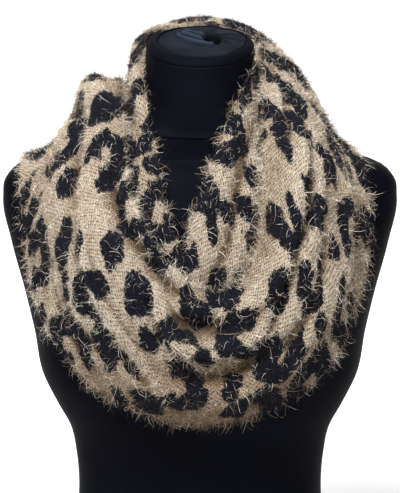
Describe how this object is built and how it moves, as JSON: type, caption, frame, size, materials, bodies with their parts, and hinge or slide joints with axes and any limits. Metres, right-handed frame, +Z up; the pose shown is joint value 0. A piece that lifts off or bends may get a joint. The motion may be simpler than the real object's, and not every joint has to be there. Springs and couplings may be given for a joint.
{
  "type": "infinity scarf on a limbless dress form",
  "caption": "Loop scarf of fuzzy knitted cloth in a spotted animal pattern, wound round the neck and shoulders of a limbless dress form.",
  "frame": {"origin": "on the flat base of the dress form, under the middle of its neck", "axes": "+Z up along the dress form, -Y towards its front, +X to the right of someone who faces the front"},
  "size_m": [0.3976, 0.2864, 0.7143],
  "materials": {
    "scarf_knit": "fuzzy knit, matt",
    "form_jersey": "smooth stretch jersey, low sheen",
    "cap_cloth": "gathered jersey, low sheen"
  },
  "bodies": {
    "root": {"neck_wrap": "scarf_knit", "back_under": "scarf_knit", "chest_wrap": "scarf_knit", "back_over": "scarf_knit", "form_body": "form_jersey", "form_neck": "form_jersey", "neck_cap": "cap_cloth"}
  },
  "joints": []
}
